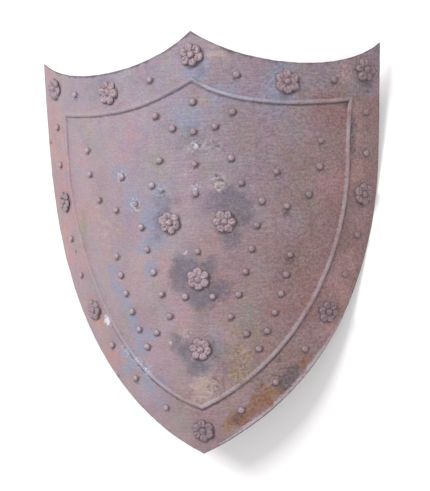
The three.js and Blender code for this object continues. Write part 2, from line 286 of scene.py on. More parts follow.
def speckle(tree, place, size, low, high, seed, detail=3.0, stretch=(1, 1, 1)):
    # noise with features of one size in millimetres, pushed apart between low and high
    shift = (seed * 1.7, seed * 0.9, seed * 2.3)
    moved = addNode(tree, "ShaderNodeMapping", None, {"Vector": place, "Location": shift, "Scale": stretch})
    cloud = addNode(tree, "ShaderNodeTexNoise", None, {
        "Vector": moved, "Scale": perMm(size), "Detail": detail, "Roughness": 0.6,
    })
    return addNode(tree, *softRange, {"Value": cloud, "From Min": low, "From Max": high})


def coat(tree, colour, tint, share, strength=1.0):
    # a coat of tint over a colour, as thick as its share and its strength say
    amount = addNode(tree, *times, {0: share, 1: strength})
    return addNode(tree, "ShaderNodeMix", {"data_type": "RGBA"}, {0: amount, 6: colour, 7: tint})


def layPatches(tree, place, colour, look, group):
    # stains with ragged borders, each where the mask of its name was painted
    for name, strength, size, seed, softness, raggedness in look[group]:
        painted = addNode(tree, "ShaderNodeAttribute", {"attribute_name": name}).outputs["Fac"]
        grain = speckle(tree, place, size, 0.25, 0.75, seed, 6.0)
        ragged = addNode(tree, *minus, {0: grain, 1: 0.5})
        border = addNode(tree, *timesPlus, {0: ragged, 1: raggedness, 2: painted})
        share = addNode(tree, *softRange, {"Value": border, "From Min": 0.12, "From Max": 0.12 + softness})
        inside = addNode(tree, *exceeds, {0: painted, 1: 0.004})
        held = addNode(tree, *times, {0: share, 1: inside})
        colour = coat(tree, colour, look[name], held, strength)
    return colour


def drift(tree, place, colour, size, strength, seed, detail=4.0, stretch=(1, 1, 1)):
    # each channel wanders on its own, so the hue changes softly from place to place
    shift = (seed * 3.1, seed * 1.9, seed)
    moved = addNode(tree, "ShaderNodeMapping", None, {"Vector": place, "Location": shift, "Scale": stretch})
    cloud = addNode(tree, "ShaderNodeTexNoise", None, {
        "Vector": moved, "Scale": perMm(size), "Detail": detail,
    })
    return addNode(tree, "ShaderNodeMix", {"data_type": "RGBA", "blend_type": "OVERLAY"}, {
        0: strength, 6: colour, 7: cloud.outputs["Color"],
    })


# Weathered sheet iron: red-brown oxide under a chalky mauve bloom that was rubbed thin with a wire
# brush. It is matt, clouded at hand size with pink, lilac and grey-green, streaked finely from side
# to side and freckled all over.
ironLook = {
    "bloom": "#968389", "oxide": "#825e5b", "lilac": "#857d8b", "blush": "#ab817f", "green": "#7e7b72",
    "halo": "#59525f", "blueHalo": "#7e869d", "ochre": "#7d4a25", "mustard": "#8a7050", "cream": "#b09c8f",
    # the soot colour also paints shade outside the right bead, dark also paints shade at the bead's foot and
    # below the fastenings, crest and gleam paint highlight on the bead
    "soot": "#46383c", "dark": "#4f4145", "pale": "#c6bdc1", "rim": "#554b52", "wornRim": "#aea5af",
    "crest": "#a198a3", "gleam": "#abacbd", "flake": "#d2ced6", "back": "#5f4c4a", "backRust": "#7b6058",
    "roughness": 0.58, "roughnessSpread": 0.15, "metallic": 0.1, "bumpDepth": 0.0006,
    "cloudSize": 70, "mottleSize": 13, "streakSize": 2.8, "freckleSize": 3.6, "darkFreckleSize": 2.88,
    "scaleSize": 5,
    # each patch has its tint above and its mask by the same name: strength, grain in mm, seed, and
    # how soft and how ragged its border is
    "clouds": [
        ("lilac", 0.6, 45, 14, 0.9, 0.6), ("blush", 0.7, 30, 4, 0.9, 0.6), ("green", 0.6, 22, 15, 0.9, 0.6),
    ],
    "stains": [
        ("blueHalo", 0.75, 14, 16, 1.1, 0.5), ("halo", 0.85, 13, 17, 1.1, 0.5),
        ("ochre", 0.9, 12, 18, 0.75, 0.8), ("mustard", 0.75, 10, 25, 0.9, 0.9),
        ("cream", 0.7, 8, 19, 1.1, 1.0), ("soot", 0.8, 6, 26, 0.9, 1.0),
    ],
    # painted highlight in crest and gleam, painted shade in dark, real wear in the worn and dark rim and the
    # flakes
    "wearAndPaintedLight": [
        ("crest", 0.6, 12, 20, 0.9, 0.6), ("gleam", 0.55, 16, 27, 0.9, 0.4), ("dark", 0.8, 8, 21, 0.9, 0.6),
        ("wornRim", 0.75, 5, 23, 0.9, 0.7), ("rim", 0.9, 12, 22, 0.6, 0.6), ("flake", 0.9, 4, 24, 0.8, 1.0),
    ],
}


def weatheredSheetIron():
    material, tree, shader, place, look = startMaterial("weathered_sheet_iron", ironLook)
    rightHand, scaly, inside = (addNode(tree, "ShaderNodeAttribute", {"attribute_name": name}).outputs["Fac"]
                                for name in ("rightHand", "scaly", "inside"))
    # bloom on the left, bare oxide on the right, which also paints part of the shade on the right half,
    # turned from the light; lilac towards the top
    cloud = speckle(tree, place, look["cloudSize"], 0.3, 0.7, 1, 5.0)
    mottle = speckle(tree, place, look["mottleSize"], 0.3, 0.7, 2, 6.0)
    swing = addNode(tree, *minus, {0: cloud, 1: 0.5})
    side = addNode(tree, *timesPlus, {0: swing, 1: 0.45, 2: rightHand})
    colour = coat(tree, look["bloom"], look["oxide"], side)
    colour = layPatches(tree, place, colour, look, "clouds")
    colour = drift(tree, place, colour, 34, 0.17, 3, stretch=(1, 0.45, 1))
    colour = drift(tree, place, colour, 12, 0.14, 5)
    # stains that the water left round the fastenings and at the tip; the soot marks outside the right bead
    # are painted shade
    colour = layPatches(tree, place, colour, look, "stains")
    # fine streaks from side to side, then freckles of both tones, all stronger on the right
    streak = speckle(tree, place, look["streakSize"], 0.35, 0.65, 6, 2.0, (0.045, 1, 1))
    scored = addNode(tree, *timesPlus, {0: rightHand, 1: 0.42, 2: 0.02})
    colour = coat(tree, colour, look["dark"], streak, scored)
    rougher = addNode(tree, *timesPlus, {0: rightHand, 1: 0.7, 2: 0.4})
    freckle = speckle(tree, place, look["freckleSize"], 0.35, 0.65, 7, 4.0)
    paleShare = addNode(tree, *times, {0: rougher, 1: 0.14})
    colour = coat(tree, colour, look["pale"], freckle, paleShare)
    darkFreckle = speckle(tree, place, look["darkFreckleSize"], 0.5, 0.72, 8, 3.0)
    darkShare = addNode(tree, *times, {0: rougher, 1: 0.26})
    colour = coat(tree, colour, look["dark"], darkFreckle, darkShare)
    colour = drift(tree, place, colour, 5, 0.12, 7, 2.0)
    # where the old coat broke up it is scaly, with pale and dark flecks side by side
    scales, gaps = (addNode(tree, *times, {0: speckle(tree, place, look["scaleSize"], *limits), 1: scaly})
                    for limits in ((0.42, 0.6, 29), (0.5, 0.64, 30)))
    colour = coat(tree, colour, look["pale"], scales, 0.4)
    colour = coat(tree, colour, look["soot"], gaps, 0.7)
    # painted highlight along the bead's crest, partly rubbed wear, painted shade at the foot of the bead and
    # below the fastenings, worn and dark rim, pale flakes
    colour = layPatches(tree, place, colour, look, "wearAndPaintedLight")
    # behind, plain brown oxide that was never brushed
    behind = coat(tree, look["back"], look["backRust"], cloud)
    behind = drift(tree, place, behind, 18, 0.3, 28)
    behind = coat(tree, behind, look["oxide"], mottle, 0.35)
    colour = coat(tree, colour, behind, inside)
    rough = addNode(tree, *timesPlus, {0: mottle, 1: look["roughnessSpread"], 2: look["roughness"]})
    relief = addNode(tree, *times, {0: freckle, 1: 0.9})
    relief = addNode(tree, *timesPlus, {0: streak, 1: 0.5, 2: relief})
    relief = addNode(tree, *minus, {0: relief, 1: darkFreckle})
    flecks = addNode(tree, *minus, {0: scales, 1: gaps})
    relief = addNode(tree, *timesPlus, {0: flecks, 1: 1.5, 2: relief})
    bump = addNode(tree, "ShaderNodeBump", None, {
        "Height": relief, "Strength": 0.5, "Distance": look["bumpDepth"],
    })
    feed(tree, shader, {
        "Base Color": colour, "Roughness": rough, "Metallic": look["metallic"], "Normal": bump,
    })
    return material


# Cast and forged iron fittings under the same oxide: handled smoother on the crowns, with painted shade at
# the foot and between the petals
fittingLook = {
    "crown": "#ab979e", "crownRight": "#8f797c", "side": "#826f78", "foot": "#42373c", "dust": "#c2b4bb",
    "tarnish": "#6a575d", "roughness": 0.6, "metallic": 0.15, "bumpDepth": 0.0005,
    "mottleSize": 5, "dustSize": 3, "pitSize": 1.6,
}


def weatheredFitting(name, footShade):
    material, tree, shader, place, look = startMaterial(name, fittingLook)
    rise, tarnished = (addNode(tree, "ShaderNodeAttribute", {"attribute_name": label}).outputs["Fac"]
                       for label in ("rise", "tarnish"))
    across = addNode(tree, "ShaderNodeSeparateXYZ", None, {0: place})
    side = addNode(tree, "ShaderNodeMapRange", None, {"Value": across, "From Min": -0.05, "From Max": 0.2})
    crown = coat(tree, look["crown"], look["crownRight"], side)
    mottle = speckle(tree, place, look["mottleSize"], 0.3, 0.7, 11, 4.0)
    rubbed = addNode(tree, *timesPlus, {0: mottle, 1: 0.6, 2: 0.55})
    colour = coat(tree, look["side"], crown, rise, rubbed)
    # painted shade where each dome meets the plate, strongest where the stored rise is low
    footed = addNode(tree, *softRange, {
        "Value": rise, "From Min": 0.0, "From Max": 0.45, "To Min": 1.0, "To Max": 0.0,
    })
    colour = coat(tree, colour, look["foot"], footed, footShade)
    dust = speckle(tree, place, look["dustSize"], 0.5, 0.7, 12, 4.0)
    dust = addNode(tree, *times, {0: dust, 1: 0.4})
    colour = coat(tree, colour, look["dust"], dust, rise)
    dulled = addNode(tree, *timesPlus, {0: mottle, 1: 0.5, 2: 0.5})
    colour = coat(tree, colour, look["tarnish"], tarnished, dulled)
    colour = drift(tree, place, colour, 6, 0.25, 9)
    pits = speckle(tree, place, look["pitSize"], 0.3, 0.7, 13, 3.0)
    bump = addNode(tree, "ShaderNodeBump", None, {
        "Height": pits, "Strength": 0.4, "Distance": look["bumpDepth"],
    })
    feed(tree, shader, {
        "Base Color": colour, "Roughness": look["roughness"], "Metallic": look["metallic"], "Normal": bump,
    })
    return material


sheetIron = weatheredSheetIron()
rosetteIron = weatheredFitting("weathered_cast_iron_rosette", 0.65)
rivetIron = weatheredFitting("weathered_forged_rivet", 0.35)
print("materials: done")


# Plate: loops run round it from the edge, over the bead, to a line up the middle of the field

plateMesh = {
    "topStations": 110, "sideStations": 230, "borderLoops": 13, "fieldLoops": 44, "spine": (-150, 120),
    "nickDepth": 0.7, "nickSize": 9, "fineNickDepth": 0.25, "fineNickSize": 2.5,
    "edgeRounding": ((0.12, -0.3), (0.5, 0)),  # how far in, and how high
    "rimWidths": (2.2, 5),
    "beadWidth": 7, "beadHeight": 2.7, "beadUneven": 0.15, "beadUnevenSize": 22,
    "beadShares": (-1.35, -1.0, -0.85, -0.55, -0.2, 0.2, 0.55, 0.85, 1.0, 1.35),
    "footRises": {1.0: 0.02, 1.35: -0.1},
    "waveHeight": 0.7, "waveSize": 90, "dentHeight": 0.22, "dentSize": 26, "seed": 5,
    "ringDepth": 0.35, "ringWidth": 5,
    # each lump: across, up, reach, lift
    "lumps": ((-1, 136, 9, 1.4), (31, 90, 10, 0.8), (0, 83, 6, 0.7), (-161, -111, 5, -0.6)),
}
# stains and scars, each one across, up, reach and strength on the drawing
marks = {
    "halo": [
        (40, 69, 24, 1.0), (58, 60, 24, 1.0), (70, 45, 17, 1.0), (50, 18, 22, 0.9), (14, 60, 16, 0.5),
        (-22, -24, 24, 1.0), (-28, -48, 20, 0.8), (34, -58, 22, 0.8), (24, -136, 18, 0.35),
        (4, -72, 22, 0.9), (18, -20, 18, 0.6), (2, -45, 36, 0.5), (-1, -148, 46, 0.5),
        (-30, -142, 20, 0.5), (-36, -128, 15, 0.35), (-8, -174, 20, 0.7), (34, -172, 14, 0.4),
        (13, 243, 12, 0.75), (128, 209, 13, 0.7), (-50, 30, 20, 0.35), (-65, 38, 17, 0.45),
        (-252, 168, 34, 0.2), (-120, 236, 60, 0.3), (-60, 246, 40, 0.3), (-160, 222, 40, 0.25),
        (250, 230, 20, 0.8), (85, 142, 50, 0.1), (250, 60, 24, 0.6), (0, 160, 32, 0.5),
        (-46, 64, 26, 0.7), (-10, -245, 26, 0.35), (24, -268, 14, 0.5), (-65, 12, 18, 0.4),
        (110, -30, 40, 0.25), (150, -110, 30, 0.3),
    ],
    "blueHalo": [
        (-56, 70, 26, 0.7), (-66, 42, 26, 1.0), (-58, 14, 22, 0.9), (-50, 85, 18, 0.5),
        (123, 232, 30, 0.9), (122, 244, 12, 0.8), (128, 208, 16, 0.8), (25, -130, 17, 0.5),
        (0, -172, 16, 0.8), (-26, -160, 16, 0.5), (12, 246, 14, 1.0), (20, 252, 9, 0.8),
        (6, 238, 10, 0.9), (8, 250, 24, 0.6), (-20, -18, 24, 0.6), (-76, -198, 13, 0.7),
        (-116, 108, 17, 1.0), (-101, 84, 16, 0.7), (-97, 66, 16, 1.0), (-82, 2, 16, 1.0),
        (-73, -29, 16, 1.0), (-141, -32, 15, 0.9), (-138, -56, 17, 0.9), (-126, -72, 15, 0.9),
        (-114, -88, 16, 0.9), (-106, -106, 15, 0.9), (-101, -124, 16, 0.9), (-76, -124, 17, 0.9),
        (-92, -146, 17, 0.9), (0, -72, 20, 0.6), (-18, 194, 45, 0.5), (40, 215, 30, 0.7),
        (110, 202, 36, 0.6), (0, 180, 26, 0.5), (-160, 146, 24, 0.35), (-122, -157, 16, 0.8),
        (-104, -170, 17, 1.0), (-84, -182, 15, 0.8), (-122, -184, 15, 0.8), (-58, -193, 12, 0.6),
        (-92, -208, 20, 0.65), (-62, -226, 22, 0.7), (33, -150, 14, 0.5), (4, 144, 9, 0.8),
        (1, 86, 10, 0.7),
    ],
    "green": [
        (-200, 50, 9, 0.9), (-202, 34, 10, 1.1), (-203, 18, 10, 1.1), (-199, 2, 9, 0.9),
        (-30, -185, 18, 0.5), (-5, -178, 16, 0.8), (85, -120, 30, 0.7), (60, -95, 26, 0.6),
        (40, -150, 20, 0.6), (245, 190, 26, 0.3), (246, 240, 20, 0.5), (160, 60, 40, 0.4),
        (150, 120, 40, 0.4), (-170, 150, 34, 0.5), (-190, 180, 26, 0.4), (90, -175, 26, 0.6),
        (20, 110, 20, 0.5), (-40, 110, 30, 0.35), (-262, 60, 12, 0.5), (-160, 60, 26, 0.4),
        (-60, 130, 26, 0.5), (10, 50, 30, 0.3), (70, -60, 30, 0.5),
    ],
    "ochre": [
        (96, -214, 19, 1.0), (82, -224, 17, 1.0), (56, -246, 18, 0.9), (70, -232, 14, 0.6),
        (40, -256, 13, 0.6), (118, -204, 12, 0.5), (-2, 135, 5, 0.55), (245, 205, 12, 0.35),
        (100, 27, 4, 0.9), (150, -168, 19, 0.7), (50, -173, 12, 0.6), (27, -192, 10, 0.6),
        (9, -200, 6, 0.35), (215, 226, 9, 0.3),
    ],
    "mustard": [
        (52, -148, 20, 0.8), (50, -120, 14, 0.5), (60, -187, 22, 0.8), (64, -165, 18, 0.8),
        (20, -196, 20, 0.5), (2, -202, 12, 0.35), (36, 95, 13, 0.5), (12, 204, 10, 0.5),
        (105, -205, 24, 0.6), (40, -232, 18, 0.5), (20, -225, 14, 0.4), (80, -140, 18, 0.5),
        (44, 30, 10, 0.4), (36, -262, 16, 0.6), (215, 225, 22, 0.4),
    ],
    "cream": [
        (31, 268, 12, 0.8), (46, 263, 12, 0.7), (32, 88, 10, 0.6), (45, -125, 14, 0.4),
        (12, -215, 14, 0.5), (14, 205, 9, 0.5), (28, 40, 9, 0.6), (-150, 30, 30, 0.4),
        (-8, -215, 26, 0.5), (4, -194, 22, 0.75),
    ],
    # the four soot marks at about 231 to 232 across, from 134 to 176 up, paint the shade outside the right
    # bead
    "soot": [
        (124, -194, 22, 1.1), (139, -180, 14, 0.7), (49, -246, 11, 0.8), (128, 46, 8, 1.0),
        (131, -23, 9, 1.0), (231, 176, 7, 1.0), (232, 163, 8, 1.2), (232, 149, 8, 1.2),
        (232, 134, 7, 1.2), (60, 44, 12, 0.6), (255, 222, 12, 0.5), (12, -206, 12, 0.25),
        (9, -22, 4, 0.7), (-49, 82, 6, 0.7), (114, -164, 5, 0.9), (177, -137, 4, 0.9),
        (-231, -10, 4, 0.9), (-142, -196, 4, 0.9), (-282, 165, 5, 0.9), (80, -198, 14, 0.5),
        (60, -176, 10, 0.4), (34, 98, 9, 0.6), (25, 143, 12, 0.35), (2, 150, 10, 0.4),
        (22, -158, 10, 0.4),
    ],
    "flake": [
        (-161, -112, 9, 1.0), (-114, 106, 8, 0.4), (-93, 64, 9, 0.36), (4, 144, 7, 0.3),
        (33, 84, 7, 0.3), (1, 84, 6, 0.4), (-46, -137, 3, 0.8), (-19, -6, 2.5, 0.7),
        (-122, -157, 9, 0.3), (-104, -170, 9, 0.35), (-84, -182, 9, 0.3), (-5, 108, 5, 0.3),
    ],
    "scaly": [
        (25, 143, 24, 0.45), (34, 94, 13, 1.0), (2, 142, 11, 1.0), (1, 84, 9, 0.9), (-49, 81, 10, 0.9),
        (60, -187, 20, 0.6), (-95, -172, 16, 0.5), (215, 238, 16, 0.5), (60, 46, 16, 0.25),
        (20, -196, 18, 0.6), (-20, -125, 14, 0.5), (75, -228, 20, 0.25), (60, -150, 20, 0.4),
        (232, 155, 14, 0.4),
    ],
    "blush": [
        (-250, 205, 20, 1.0), (-248, 170, 20, 0.9), (-250, 128, 24, 0.9), (-175, -114, 14, 0.8),
        (-184, 49, 34, 0.6), (213, 240, 20, 0.8), (-60, -20, 40, 0.25), (20, 15, 26, 0.3),
        (200, 90, 50, 0.4), (240, 100, 22, 0.6), (180, -60, 50, 0.4), (-30, -100, 30, 0.3),
        (225, -30, 24, 0.5), (-220, -20, 40, 0.6), (-100, 150, 50, 0.3), (-200, -100, 30, 0.8),
        (-150, -170, 30, 0.8), (-220, 60, 40, 0.5), (-178, -140, 26, 0.6), (12, -8, 22, 0.25),
        (-45, -50, 30, 0.2), (-30, -100, 24, 0.3), (-8, 28, 16, 0.4), (205, -100, 40, 0.5),
        (-185, 150, 50, 0.35), (250, 20, 34, 0.4), (230, -50, 34, 0.35), (195, -130, 30, 0.5),
        (245, 150, 24, 0.5), (240, 188, 20, 0.5),
    ],
}
fastenings = [(place, 5.5) for place in rivetPlaces]
fastenings += [(place, 16) for place, turn, tarnish in rosettePlaces.values()]
topCount, sideCount = plateMesh["topStations"], plateMesh["sideStations"]


def closedLoop(lines):
    pieces = []
    topShares, sideShares = (np.arange(count) / count for count in (topCount, sideCount))
    for hand, line, shares in (("right", "top", topShares), ("right", "side", sideShares),
                               ("left", "side", 1 - sideShares), ("left", "top", 1 - topShares)):
        points = alongLine(lines[hand][line], shares)
        points[:, 0] *= hands[hand]
        pieces.append(points)
    return np.vstack(pieces)


def inwardStep(loop):
    # the step towards the middle, as long as it must be for equal widths round the points
    before, after = np.roll(loop, 1, axis=0), np.roll(loop, -1, axis=0)
    incoming = (loop - before) / np.linalg.norm(loop - before, axis=1)[:, None]
    outgoing = (after - loop) / np.linalg.norm(after - loop, axis=1)[:, None]
    along = incoming + outgoing
    along /= np.linalg.norm(along, axis=1)[:, None]
    mitre = 1 / np.sum(along * outgoing, axis=1)
    return np.column_stack([along[:, 1], -along[:, 0]]) * mitre[:, None]


def movedIn(loop, step, distance):
    # the loop a distance further in, its lines cut off where they would cross past a corner
    moved = loop + step * distance
    corners = np.cumsum([0, topCount, sideCount, sideCount, topCount])
    sections = []
    for first, last in zip(corners, corners[1:]):
        line = moved[np.arange(first, last + 1) % len(loop)]
        ahead, back = loop[first + 1] - loop[first], loop[last - 1] - loop[last % len(loop)]
        kept = ((line - line[0]) @ ahead > 0.1) & ((line - line[-1]) @ back > 0.1)
        line = np.vstack([line[:1], line[kept], line[-1:]])
        sections.append(alongLine(line, np.arange(last - first) / (last - first)))
    return np.vstack(sections)


def spineLoop():
    # where every loop ends: a line up the middle of the field, there and back
    low, high = plateMesh["spine"]
    shares = np.arange(sideCount + 1) / sideCount
    heights = np.mean([alongLine(bead[hand]["side"], shares)[:, 1] for hand in hands], axis=0)
    heights = np.clip(heights, low, high)
    ups = np.concatenate([np.full(topCount, high), heights[:-1], heights[:0:-1], np.full(topCount, high)])
    return np.column_stack([np.zeros(len(ups)), ups])


def markMask(points, name):
    mask = np.zeros(len(points))
    for index, (across, up, reach, strength) in enumerate(marks[name]):
        distance = np.hypot(*(points - (across, up)).T)
        near = distance < reach * 1.8
        wobble = noiseField(points[near], reach * 0.6, index + 20)
        mask[near] += strength * (1 - smoothStep(0.15, 1.35, distance[near] / reach + 0.3 * wobble))
    return np.clip(mask, 0, 1)


def fasteningGap(points):
    # how far from the foot of the nearest rivet or rosette, and whether it lies above to the left
    gap, above = np.full(len(points), 99.0), np.zeros(len(points))
    for place, radius in fastenings:
        offset = points - place
        reach = np.hypot(*offset.T)
        nearer = np.abs(reach - radius) < gap
        gap[nearer] = np.abs(reach - radius)[nearer]
        above[nearer] = ((0.8 * offset[:, 1] - 0.6 * offset[:, 0]) / np.maximum(reach, 1))[nearer]
    return gap, above


def beatenRise(drawn):
    # how far hand beating left the sheet above or below the true curl
    settings = plateMesh
    waves = settings["waveHeight"] * noiseField(drawn, settings["waveSize"], settings["seed"], 2)
    return waves + settings["dentHeight"] * noiseField(drawn, settings["dentSize"], settings["seed"] + 1, 2)


def plateLoops():
    # all loops, with their heights, how near the bead's crest they are and which foot of it they are
    settings = plateMesh
    edgeLoop, beadLoop, spine = closedLoop(edge), closedLoop(bead), spineLoop()
    edgeIn, beadIn = inwardStep(edgeLoop), inwardStep(beadLoop)
    nick = noiseField(edgeLoop, settings["nickSize"], 3) * settings["nickDepth"]
    nick += noiseField(edgeLoop, settings["fineNickSize"], 4) * settings["fineNickDepth"]
    edgeLoop = edgeLoop + edgeIn * np.clip(nick, 0, 2)[:, None]
    half = settings["beadWidth"] / 2
    beadLines = [movedIn(beadLoop, beadIn, half * share) for share in settings["beadShares"]]
    outerFoot, innerFoot = beadLines[0], beadLines[-1]
    uneven = 1 + settings["beadUneven"] * noiseField(beadLoop, settings["beadUnevenSize"], 6)
    loops, heights, crests, feet = [], [], [], []

    def addLoop(points, height, crest=0.0, foot=0.0):
        loops.append(points)
        for rows, value in ((heights, height), (crests, crest), (feet, foot)):
            rows.append(np.broadcast_to(np.asarray(value, float), len(points)))

    addLoop(edgeLoop, -plateSizes["thickness"] / 2)
    for inward, height in settings["edgeRounding"]:
        addLoop(edgeLoop + edgeIn * inward, height)
    outerRim, innerRim = (movedIn(edgeLoop, edgeIn, width) for width in settings["rimWidths"])
    addLoop(outerRim, 0)
    for step in range(settings["borderLoops"] + 1):
        share = step / (settings["borderLoops"] + 1)
        addLoop(innerRim + (outerFoot - innerRim) * share, 0)
    for share, line in zip(settings["beadShares"], beadLines):
        foot = np.sign(share) if abs(share) in settings["footRises"] else 0.0
        rise = settings["footRises"][abs(share)] if foot else math.sqrt(1 - share * share)
        addLoop(line, settings["beadHeight"] * rise * uneven, rise, foot)
    for step in range(1, settings["fieldLoops"] + 1):
        addLoop(innerFoot + (spine - innerFoot) * step / settings["fieldLoops"], 0)
    return [np.array(rows) for rows in (loops, heights, crests, feet)]


def plateMasks(loops, crests, feet, gap, above):
    # where each colour of the material lies, by vertex
    drawn = loops.reshape(-1, 2)
    across, up = drawn.T
    loopNumber = np.repeat(np.arange(len(loops)), loops.shape[1])
    edgeDistance = np.linalg.norm(loops - loops[2], axis=2).reshape(-1)
    edgeDistance[loopNumber < 2] = 0
    along = noiseField(drawn, 30, 8)
    masks = {name: markMask(drawn, name) for name in marks}
    # the edge is dark, in a wider band along the top and more faintly towards the tip
    rimReach = np.where(up > 150, 3.4, 2.0) * (1 + 0.5 * along)
    rim = np.clip(1.15 - edgeDistance / rimReach, 0, 1) * (0.65 + 0.3 * along)
    rim *= 0.3 + 0.7 * smoothStep(-190, -20, up)
    # a pale band rubbed bare along the lower right edge, with a dark line left outside it
    lowSide = smoothStep(-70, -140, up)
    worn = smoothStep(10, 40, across) * lowSide
    reach = 2.4 + 1.8 * smoothStep(50, 110, across) * smoothStep(-130, -160, up)
    bandDistance = edgeDistance * (1 - 0.4 * along)
    band = smoothStep(0.3, 1.2, edgeDistance) * (1 - smoothStep(reach, 2 * reach, bandDistance))
    masks["wornRim"] = worn * band * np.clip(0.9 + 0.5 * along, 0, 1)
    rim = np.maximum(rim * (1 - worn), worn * (1 - smoothStep(0.2, 1.1, edgeDistance)))
    masks["rim"] = rim * (1 - 0.7 * smoothStep(95, 130, across) * lowSide)
    # the bead: painted highlight along its crest, partly rubbed wear, brightest right of the top point, and
    # painted shade along the foot on the side turned from the light
    crest, foot = np.clip(crests, 0, 1).reshape(-1), feet.reshape(-1)
    rightSide, topSide = smoothStep(60, 190, across), smoothStep(180, 198, up)
    lowEnd = smoothStep(-100, -150, up)
    masks["crest"] = crest * np.clip(0.35 + 0.4 * rightSide + 0.35 * lowEnd + 0.3 * along, 0, 1)
    masks["gleam"] = 0.8 * crest ** 2 * smoothStep(-4, 25, across) * smoothStep(150, 70, across) * topSide
    outerShade = (0.12 + 0.75 * np.maximum(0.8 * rightSide, lowEnd)) * (1 - topSide)
    innerShade = 0.1 + topSide * (0.45 + 0.35 * rightSide)
    footShade = np.where(foot < 0, outerShade, np.where(foot > 0, innerShade, 0))
    # painted shadow below and to the right of each rivet and rosette
    shadowBelowFastening = smoothStep(0.5, -0.6, above) * np.exp(-(gap / 2.6) ** 2)
    masks["dark"] = np.clip(footShade * (1 + 0.4 * along) + shadowBelowFastening, 0, 1)
    # lilac over the top and the upper border, blush by the left edge, bare oxide to the right, which also
    # paints part of the shade there
    upperField = smoothStep(-160, 160, up) * smoothStep(230, 60, np.abs(across - 10)) * 0.9
    upperBorder = smoothStep(195, 225, up) * smoothStep(-245, -200, across) * 0.95
    masks["lilac"] = np.maximum(upperField, upperBorder)
    masks["blush"] = np.maximum(masks["blush"], smoothStep(-215, -250, across) * (0.55 + 0.45 * along))
    masks["rightHand"] = smoothStep(-130, 200, across + 40 * noiseField(drawn, 60, 10))
    return masks


def closeMesh(mesh, distance):
    work = bmesh.new()
    work.from_mesh(mesh)
    bmesh.ops.remove_doubles(work, verts=work.verts, dist=distance)
    bmesh.ops.dissolve_degenerate(work, edges=work.edges, dist=distance / 4)
    bmesh.ops.recalc_face_normals(work, faces=work.faces)
    for face in work.faces:
        face.smooth = True
    openEdges = sum(1 for line in work.edges if not line.is_manifold)
    work.to_mesh(mesh)
    work.free()
    mesh.set_sharp_from_angle(angle=math.radians(50))
    print("open edges:", openEdges)


def buildPlate():
    settings = plateMesh
    loops, heights, crests, feet = plateLoops()
    stations = loops.shape[1]
    drawn = loops.reshape(-1, 2)
    gap, above = fasteningGap(drawn)
    # hand-beaten unevenness, a shallow ring pressed in round each fastening, and the lumps
    pressed = settings["ringDepth"] * np.exp(-(gap / settings["ringWidth"]) ** 2)
    rise = heights.reshape(-1) + (beatenRise(drawn) - pressed)
    knobbly = 1 + 0.8 * noiseField(drawn, 5, 31)
    for across, up, reach, lift in settings["lumps"]:
        distance = np.hypot(*(drawn - (across, up)).T)
        rise += lift * np.exp(-(distance / reach) ** 2) * knobbly
    front, _ = onFace(drawn, rise)
    # the inner face follows the outer one, so the bead and the waves show from behind as hollows
    lastLoop = len(loops) - 1
    backLoops = [index for index in range(2, len(loops)) if index < 8 or index % 2 == 0 or index == lastLoop]
    backRise = rise.reshape(-1, stations)[backLoops].reshape(-1)
    back, _ = onFace(loops[backLoops].reshape(-1, 2), backRise - plateSizes["thickness"])
    points = np.vstack([front, back])
    points[:, 2] = np.maximum(points[:, 2], 0)

    following = list(enumerate(np.roll(np.arange(stations), -1)))
    base = len(front)
    faces = []
    for outer in range(lastLoop):
        a, b = outer * stations, (outer + 1) * stations
        faces += [(a + i, b + i, b + j, a + j) for i, j in following]
    for outer in range(len(backLoops) - 1):
        a, b = base + outer * stations, base + (outer + 1) * stations
        faces += [(a + i, a + j, b + j, b + i) for i, j in following]
    faces += [(i, j, base + j, base + i) for i, j in following]
    mesh = bpy.data.meshes.new("plate")
    mesh.from_pydata(points.tolist(), [], faces)
    values = {name: np.append(mask, np.zeros(len(back)))
              for name, mask in plateMasks(loops, crests, feet, gap, above).items()}
    values["inside"] = np.repeat([0, 1], [len(front), len(back)])
    for name, value in values.items():
        layer = mesh.attributes.new(name, "FLOAT", "POINT")
        layer.data.foreach_set("value", value.astype(np.float32))
    piece = newPiece("shield_plate", mesh, sheetIron)
    closeMesh(mesh, 0.00002)
    print("plate: done", len(mesh.polygons), "faces")
    return piece


plate = buildPlate()


# Rivets and rosettes, made by geometry nodes on one point for each

sunk = 0.0006  # how deep the heads and tails stand in the plate, so that no slit shows
readNumber = ("GeometryNodeInputNamedAttribute", {"data_type": "FLOAT"})
readVector = ("GeometryNodeInputNamedAttribute", {"data_type": "FLOAT_VECTOR"})
storeNumber = ("GeometryNodeStoreNamedAttribute", {"data_type": "FLOAT", "domain": "POINT"})
drawVector = ("FunctionNodeRandomValue", {"data_type": "FLOAT_VECTOR"})
turnLocally = ("FunctionNodeRotateRotation", {"rotation_space": "LOCAL"})


def newTree(name, settings):
    # takes geometry, one number for each setting and a material, and gives geometry
    tree = bpy.data.node_groups.new(name, "GeometryNodeTree")
    kinds = {"Geometry": "NodeSocketGeometry"}
    for label, value in settings.items():
        kinds[label] = "NodeSocketInt" if isinstance(value, int) else "NodeSocketFloat"
    kinds["Material"] = "NodeSocketMaterial"
    for label, kind in kinds.items():
        tree.interface.new_socket(label, in_out="INPUT", socket_type=kind)
    tree.interface.new_socket("Geometry", in_out="OUTPUT", socket_type="NodeSocketGeometry")
    return tree, addNode(tree, "NodeGroupInput").outputs


